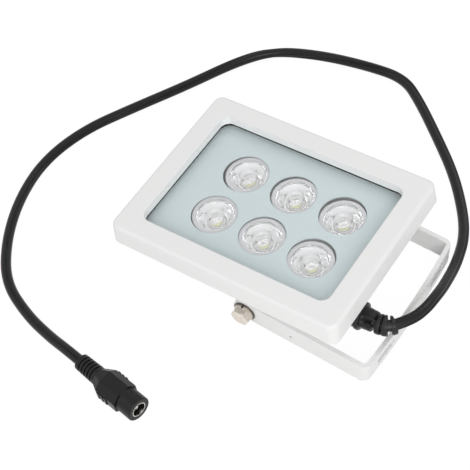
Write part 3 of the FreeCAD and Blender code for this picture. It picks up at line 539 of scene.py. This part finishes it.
emitter_radius = 4.0
emitter_height = 1.8
emitter_foot_edge = 0.3
patch_radius = 1.7
patch_foot = emitter_height - 0.36
dome_radius = 2.6
dome_height = 2.2
dome_foot = emitter_height - 0.33
dome_pit = emitter_height - 0.35
base_line = rounded_line((
    (0, 0, 0), (emitter_radius - emitter_foot_edge, 0, 0.1),
    (emitter_radius, emitter_foot_edge, 0.15), (emitter_radius, emitter_height, 0.25),
    (dome_radius + 0.35, emitter_height, 0.1), (dome_radius + 0.1, dome_pit, 0.1),
    (0, dome_pit, 0)))
patch_line = rounded_line((
    (0, patch_foot, 0), (patch_radius, patch_foot, 0.02),
    (patch_radius, emitter_height - 0.1, 0.08), (0, emitter_height - 0.02, 0)))
dome_line = [(0, dome_foot), (dome_radius, dome_foot)]
for angle in range(90, 0, -6):
    dome_line.append((dome_radius * math.sin(math.radians(angle)),
                      emitter_height + dome_height * math.cos(math.radians(angle))))
dome_line.append((0, emitter_height + dome_height))
for number in range(1, 7):
    place = foot_of("led_%d" % number)
    base = turned_piece("emitter_base_%d" % number, base_line, place, emitter_ceramic)
    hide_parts("led_%d" % number)
    turned_piece("emitter_phosphor_%d" % number, patch_line, place, phosphor, 48)
    turned_piece("emitter_dome_%d" % number, dome_line, place, dome_silicone, 64)


# ---- Lens holders and lenses
# A bright white cup stands round each emitter and carries a clear acrylic lens by its flange.
# The lens has a bowl in its front, a well in the bowl and a pocket over the emitter.

holder_plastic = plastic("holder_plastic", display(250, 250, 250), display(246, 246, 248), 0.3,
                         display(252, 252, 252))
lens_acrylic = clear_material(
    "lens_acrylic", (0.995, 0.99, 0.995, 1.0), 1.49, 0.0, (1.0, 1.0, 1.0, 1.0), 0.95)
collar_acrylic = clear_material(
    "lens_collar", (0.72, 0.715, 0.74, 1.0), 1.49, 0.15, (0.95, 0.95, 0.95, 1.0), 0.35)

lens_radius = 10.42
lens_play = (0.00005, 0.0003)
lens_height = 8.946
flange_foot = lens_height - 1.6
collar_radius = 8.9
collar_gap = 0.02
rim_height = lens_height - 0.15
bowl_radius = 8.2
bowl_floor_radius = 7.4
bowl_floor = 7.55
bowl_dip_radius = 5.6
bowl_dip = 0.3
well_rim_radius = 4.1
well_radius = 3.0
well_floor = 6.5
eye_height = 7.5
foot_radius = 4.6
shoulder_radius = 9.2
shoulder_bulge = 1.3
pocket_radius = 3.1
pocket_roof = 2.9
cone_steps = 12
cone_line = []
for step in range(1, cone_steps):
    part = step / cone_steps
    cone_line.append((foot_radius + (shoulder_radius - foot_radius) * part
                      + shoulder_bulge * part * (1 - part) ** 2, flange_foot * part, 0))
eye_line = []
for angle in range(10, 90, 10):
    eye_line.append((well_radius * math.cos(math.radians(angle)),
                     well_floor + (eye_height - well_floor) * math.sin(math.radians(angle)), 0))
lens_line = rounded_line((
    (0, pocket_roof - 0.45, 0), (1.2, pocket_roof - 0.38, 0), (2.2, pocket_roof - 0.15, 0),
    (pocket_radius, pocket_roof, 0.2), (pocket_radius, 0, 0.15), (foot_radius, 0, 0.15), *cone_line,
    (collar_radius, flange_foot, 0.1), (collar_radius, rim_height, 0.1),
    (bowl_radius, rim_height, 0.2), (bowl_floor_radius, bowl_floor, 0.5),
    (bowl_dip_radius, bowl_floor - bowl_dip, 0.6), (well_rim_radius, bowl_floor - 0.1, 0.3),
    (well_radius + 0.4, well_floor, 0.25), (well_radius, well_floor, 0.15), *eye_line,
    (0, eye_height, 0)))
collar_bore = collar_radius + collar_gap
collar_line = rounded_line((
    (collar_bore, flange_foot, 0), (lens_radius, flange_foot, 0.2),
    (lens_radius, lens_height, 0.15), (collar_radius - 0.3, lens_height, 0.12),
    (collar_bore, lens_height - 0.3, 0), (collar_bore, flange_foot, 0)))

# A small dark grey plug beside the eye is a painted reflection: it gives each lens the dark spot
# that it shows there
painted_spot_grey = plastic("painted_dark_spot", display(96, 94, 92), display(76, 74, 72), 0.5,
                    display(110, 108, 106))
spot_radius = 0.42
spot_foot = 6.1
spot_top = 6.75
spot_offset = 0.0019
spot_line = rounded_line((
    (0, spot_foot, 0), (spot_radius, spot_foot, 0.15), (spot_radius, spot_top, 0.3),
    (0, spot_top, 0)))

# Two toothed dark strips with pale edges line each cup, as painted reflection: through the lens
# they show as the dark and light glints at its sides
glint_strip_grey = plastic("glint_strip_grey", display(92, 92, 96), display(64, 64, 68), 0.3,
                     display(200, 200, 204))
strip_sides = (48, 228)
strip_rows = 7
strip_foot = 1.2
strip_row_height = 0.75
strip_half_width = 13
strip_tooth = 4
cup_foot_radius = 5.3
cup_spread = 3.9

for number in range(1, 7):
    coat_nodes(holder_plastic, "lens_holder_%d" % number)
    place = foot_of("lens_%d" % number)
    place = (place[0] - lens_play[0], place[1] - lens_play[1], place[2])
    lens = turned_piece("lens_%d" % number, lens_line, place, lens_acrylic)
    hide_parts("lens_%d" % number)
    turned_piece("lens_collar_%d" % number, collar_line, place, collar_acrylic)
    spot = (place[0] - spot_offset, place[1] - spot_offset, place[2])
    turned_piece("lens_gate_mark_%d" % number, spot_line, spot, painted_spot_grey, 24)
    edit = bmesh.new()
    for side in strip_sides:
        rows = []
        for step in range(strip_rows):
            height = strip_foot + strip_row_height * step
            reach = cup_foot_radius + cup_spread * height / flange_foot
            half = strip_half_width + strip_tooth * (step % 2)
            rows.append([edit.verts.new((
                place[0] + reach / 1000 * math.cos(math.radians(side + turn)),
                place[1] + reach / 1000 * math.sin(math.radians(side + turn)),
                place[2] + height / 1000)) for turn in (-half, -half / 2, 0, half / 2, half)])
        for row, following in zip(rows, rows[1:]):
            for here in range(len(row) - 1):
                edit.faces.new((row[here], row[here + 1], following[here + 1], following[here]))
    finish_piece("lens_clips_%d" % number, edit, glint_strip_grey)


# ---- Screws, bolts and washers
# Machine screws of plain steel; two nickel-plated hexagon bolts with a flat washer and a
# plated spring washer each, which pull the bracket's arms against the bosses.

def metal(name, light, dark, roughness, cloud_scale=160.0, pitting=0.00002):
    """Turned and plated metal: fine scratches in its gloss."""
    material, tree, shader = node_material(name)
    shader.inputs["Metallic"].default_value = 1.0
    skin = put_group(tree, skin_grain, {"Grain scale": 1500.0, "Cloud scale": cloud_scale})
    edge = put_group(tree, edge_rub_and_sheen, {"Width": 0.0003, "Break up": 900.0})
    body = mix_colours(tree, skin.outputs["Cloud"], dark, light)
    edge_share = spread(tree, edge.outputs["Edge"], 0.0, 0.6)
    tree.links.new(mix_colours(tree, edge_share, body, light), shader.inputs["Base Color"])
    sheen = spread(tree, skin.outputs["Height"], roughness - 0.08, roughness + 0.12)
    tree.links.new(sheen, shader.inputs["Roughness"])
    raise_surface(tree, shader, skin.outputs["Height"], pitting, 0.4)
    return material


screw_steel = metal("screw_steel", display(205, 205, 205), display(180, 180, 182), 0.3)
coat_nodes(screw_steel, "frame_screws", "board_screws", "driver_screws")
bolt_nickel = metal("bolt_nickel", display(246, 238, 228), display(196, 186, 176), 0.36,
                    cloud_scale=620.0, pitting=0.00009)
coat_nodes(bolt_nickel, "pivot_bolt_front", "pivot_bolt_back",
           "spring_washer_front", "spring_washer_back")
# The flat washers are painted dark as painted shade, for the shadowed gap between each washer and
# the arm
washer_dark = metal("washer_dark", display(112, 109, 105), display(88, 85, 81), 0.4)
coat_nodes(washer_dark, "flat_washer_front", "flat_washer_back")


# ---- Bracket
# One strip of 2 mm sheet steel, bent twice into a U, with two slots and a hole in its
# web. Powder coated like the head, after bending; two specks of dust lie in the coat.

bracket_specks = (((0.02384, -0.0378, 0.00886), 0.0008), ((0.05751, -0.0378, 0.0003), 0.0009))
bracket_paint = powder_coat(
    "bracket_paint", display(232, 232, 231), display(227, 228, 227), bracket_specks)
coat_nodes(bracket_paint, "bracket")


# ---- Driver inside the head
# Small board with a drum coil, a can capacitor, a few chips and a screw terminal, and the
# red and black leads from the cord and to the LED board.

laminate = plastic("driver_laminate", display(48, 110, 72), display(36, 92, 60), 0.45,
                   display(120, 140, 90))
coat_nodes(laminate, "driver_board")
coil_core = plastic("coil_core", display(70, 66, 64), display(52, 50, 48), 0.6,
                    display(90, 86, 82), grain_depth=0.00003)
coat_nodes(coil_core, "driver_coil")
can_metal = metal("capacitor_can", display(214, 216, 220), display(190, 192, 198), 0.25)
coat_nodes(can_metal, "driver_capacitor")
component_black = plastic("component_black", display(46, 46, 48), display(34, 34, 36), 0.5,
                          display(80, 80, 80))
coat_nodes(component_black, "driver_chips")
terminal_plastic = plastic("terminal_plastic", display(60, 120, 170), display(44, 100, 150),
                           0.4, display(110, 160, 200))
coat_nodes(terminal_plastic, "terminal_block")
lead_red = rubber("lead_red", display(176, 40, 34), display(150, 28, 26), 0.45)
coat_nodes(lead_red, "positive_leads")
lead_black = rubber("lead_black", display(44, 44, 44), display(30, 30, 30), 0.45)
coat_nodes(lead_black, "negative_leads")


# ---- Strain relief
# Moulded black rubber, snapped through the pad in the housing's end: a flange, a neck with a
# groove on each side, and three rings with slots between them, so that it bends with the cord.

relief_plastic = rubber("relief_plastic", display(42, 42, 43), display(33, 33, 34), 0.32)
relief_back = 1000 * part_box("strain_relief")[0][0]
relief_place = (49.91, -18.9, 18.504)
relief_straight = 7.26
relief_bend = math.radians(50.0)
relief_length = 14.3
flange_length = 2.2
flange_radius = 6.4
flange_edge = (0.5, 0.45)
base_radius = 5.9
pad_hole_radius = 4.45
snap_radius = 5.4
snap_taper = 0.8
snap_length = 1.6
pad_thickness = relief_place[0] - 2 * flange_length - relief_back - snap_length
neck_radius = 5.0
neck_taper = 0.3
neck_groove_side = 137.0
neck_groove_depth = 1.9
neck_groove_width = 12.0
neck_groove_start = 0.5
neck_groove_fade = 1.1
ring_radius = 4.6
last_ring_start = 12.4
last_ring_radius = 4.2
ring_edge = (0.35, 0.25)
core_radius = 2.6
bore_radius = 2.3
# start, end, first and last direction of each slot, in millimetres and degrees
relief_slots = (
    (5.2, 7.0, 138.0, 288.0), (5.85, 6.85, -42.0, 108.0),
    (8.6, 9.25, 52.0, 192.0), (8.6, 9.25, 232.0, 372.0),
    (11.15, 12.5, 141.0, 284.0), (11.15, 12.55, -40.0, 103.0))


def relief_spot(distance):
    """Point on the relief's bent centre line, with its sideways direction there."""
    start = Vector(relief_place)
    if distance <= relief_straight:
        return start + Vector((distance, 0, 0)), Vector((0, 1, 0))
    radius = (relief_length - relief_straight) / relief_bend
    angle = (distance - relief_straight) / radius
    swing = Vector((radius * math.sin(angle), radius * (1 - math.cos(angle)), 0))
    sideways = Vector((-math.sin(angle), math.cos(angle), 0))
    return start + Vector((relief_straight, 0, 0)) + swing, sideways


def relief_radius(distance, direction):
    """How far the relief's skin is from its centre line, there and in that direction."""
    if distance < -flange_length:
        return base_radius
    if distance < 0:
        edge = min(-distance, distance + flange_length)
        return flange_radius - flange_edge[1] * max(0.0, 1 - edge / flange_edge[0]) ** 2
    for start, end, first, last in relief_slots:
        turn = (direction - first) % 360
        if start < distance < end and 0 < turn < last - first:
            return core_radius
    neck_end = relief_slots[0][0]
    if distance < neck_end:
        radius = neck_radius - neck_taper * distance / neck_end
        fade = min(1.0, max(0.0, (distance - neck_groove_start) / neck_groove_fade))
        for side in (neck_groove_side, neck_groove_side + 180):
            off = (direction - side + 180) % 360 - 180
            radius -= neck_groove_depth * fade * math.exp(-(off / neck_groove_width) ** 2)
    else:
        radius = last_ring_radius if distance > last_ring_start else ring_radius
    nearest = min(abs(distance - edge) for slot in relief_slots for edge in slot[:2])
    nearest = min(nearest, relief_length - distance)
    return radius - ring_edge[1] * max(0.0, 1 - nearest / ring_edge[0]) ** 2


# Points lie close together where a slot starts or ends, along the relief and round it
stations = {-2 * flange_length, -flange_length - 0.01, -flange_length, -flange_length + 0.1,
            -flange_length + 0.25, -flange_length + 0.5, -0.5, -0.25, -0.1, 0.0, 0.01, 0.5,
            0.9, 1.4, 2.2, 3.0, 3.8, 4.6, 7.6, 8.0, 9.9, 10.4, 13.2, 13.6,
            relief_length - 0.1, relief_length}
directions = set(range(0, 360, 6))
for start, end, first, last in relief_slots:
    for edge, way in ((start, -1), (end, 1)):
        stations |= {edge + way * step for step in (-0.005, 0.005, 0.1, 0.22, 0.38)}
    for edge in (first, last):
        directions |= {(edge - 0.4) % 360, (edge + 0.4) % 360}
directions = sorted(directions)
edit = bmesh.new()


def relief_ring(distance, radius=None):
    """Ring of points round the relief, on its skin or at one radius."""
    spot, sideways = relief_spot(distance)
    ring = []
    for direction in directions:
        angle = math.radians(direction)
        out = sideways * math.cos(angle) + Vector((0, 0, math.sin(angle)))
        reach = relief_radius(distance, direction) if radius is None else radius
        ring.append(edit.verts.new((spot + out * reach) / 1000))
    return ring


pad_front = -2 * flange_length
pad_back = pad_front - pad_thickness
snap_end = pad_back - snap_length
rings = [relief_ring(snap_end, bore_radius + 0.1), relief_ring(snap_end, snap_radius - snap_taper),
         relief_ring(pad_back - 0.1, snap_radius), relief_ring(pad_back, pad_hole_radius),
         relief_ring(pad_front, pad_hole_radius)]
rings += [relief_ring(distance) for distance in sorted(stations)]
rings += [relief_ring(relief_length, bore_radius + 0.35),
          relief_ring(relief_length - 1.5, bore_radius - 0.1)]
join_rings(edit, rings)
for ring in (rings[0], rings[-1]):
    edit.faces.new(ring)
strain_relief = finish_piece("strain_relief", edit, relief_plastic, 40.0)
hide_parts("strain_relief")


# ---- Cord
# Round two-core lead in a smooth black jacket, from its short end inside the lamp to the
# socket. It leaves the strain relief level, comes down beside the bracket and lies round the lamp.

cord_jacket = rubber("cord_jacket", display(24, 24, 24), display(17, 17, 17), 0.3)
coat_nodes(cord_jacket, "cord_end")

cord_points = (
    (0.06334, -0.01602, 0.0185), (0.06823, -0.01020, 0.0185), (0.0706, -0.0022, 0.0183),
    (0.0707, 0.0054, 0.0168), (0.0702, 0.0122, 0.0140), (0.0689, 0.0200, 0.0106),
    (0.0676, 0.0269, 0.0076), (0.0659, 0.0349, 0.0052), (0.0622, 0.0479, 0.0032),
    (0.0549, 0.0609, 0.0025), (0.0403, 0.0793, 0.0025), (0.0222, 0.0962, 0.0025),
    (0.0042, 0.1122, 0.0025), (-0.0105, 0.1229, 0.0025), (-0.0307, 0.1224, 0.0025),
    (-0.0571, 0.1182, 0.0025), (-0.0802, 0.1098, 0.0025), (-0.0932, 0.0951, 0.0025),
    (-0.1076, 0.0688, 0.0025), (-0.1233, 0.0433, 0.0025), (-0.1371, 0.0195, 0.0025),
    (-0.1428, -0.0063, 0.0025), (-0.1385, -0.0312, 0.0025), (-0.1279, -0.0541, 0.0025),
    (-0.1123, -0.0736, 0.0025), (-0.0911, -0.0832, 0.0025), (-0.0730, -0.0878, 0.0037),
    (-0.0615, -0.0901, 0.0059), (-0.0527, -0.0917, 0.0059))
route = bpy.data.curves.new("cord_route", "CURVE")
route.dimensions = "3D"
route.resolution_u = 14
line = route.splines.new("NURBS")
line.points.add(len(cord_points) - 1)
for point, place in zip(line.points, cord_points):
    point.co = (*place, 1.0)
line.order_u = 3
line.use_endpoint_u = True
route_object = bpy.data.objects.new("cord_route", route)
bpy.context.scene.collection.objects.link(route_object)
bpy.context.view_layer.update()
route_line = bpy.data.meshes.new_from_object(route_object)
cord_path = [vertex.co.copy() for vertex in route_line.vertices]
bpy.data.objects.remove(route_object)

# The jacket follows its two cores, so that it has a shallow valley on both sides. The valleys
# turn round the cord with its twist: length in millimetres from the lamp, and angle in degrees.
cord_radius = 2.5
cord_sides = 60
valley_depth = 0.85
valley_width = 15.0
cord_twist = (
    (0, 8), (71, 40), (133, 56), (158, 60), (203, 134), (245, 224), (285, 314), (330, 349),
    (372, 340), (428, 290), (479, 260), (600, 255))
edit = bmesh.new()
rings = []
travelled = 0.0
for here, spot in enumerate(cord_path):
    before = cord_path[max(here - 1, 0)]
    after = cord_path[min(here + 1, len(cord_path) - 1)]
    travelled += 1000 * (spot - before).length
    along = (after - before).normalized()
    sideways = along.cross(Vector((0, 0, 1))).normalized()
    upward = sideways.cross(along)
    for (start, first), (end, last) in zip(cord_twist, cord_twist[1:]):
        if start <= travelled < end:
            valley = first + (last - first) * (travelled - start) / (end - start)
    ring = []
    for step in range(cord_sides):
        direction = 360 // cord_sides * step
        off = (direction - valley + 90) % 180 - 90
        radius = cord_radius - valley_depth * math.exp(-(off / valley_width) ** 2)
        angle = math.radians(direction)
        out = sideways * math.cos(angle) + upward * math.sin(angle)
        ring.append(edit.verts.new(spot + out * radius / 1000))
    rings.append(ring)
join_rings(edit, rings)
for ring in (rings[0], rings[-1]):
    edit.faces.new(ring)
cord = finish_piece("cord", edit, cord_jacket, 60.0)
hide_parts("power_cord")


# ---- Socket on the cord's end
# Moulded black body: grooved boot, flare, eight-sided grip with ribs and a round barrel.
# In its mouth a plated sleeve stands round a centre pin.

socket_plastic = rubber("socket_plastic", display(18, 18, 18), display(12, 12, 12), 0.36)
coat_nodes(socket_plastic, "socket_body", "socket_base")
socket_nickel = metal("socket_nickel", display(208, 206, 202), display(190, 188, 184), 0.2)
coat_nodes(socket_nickel, "socket_sleeve", "socket_pin")
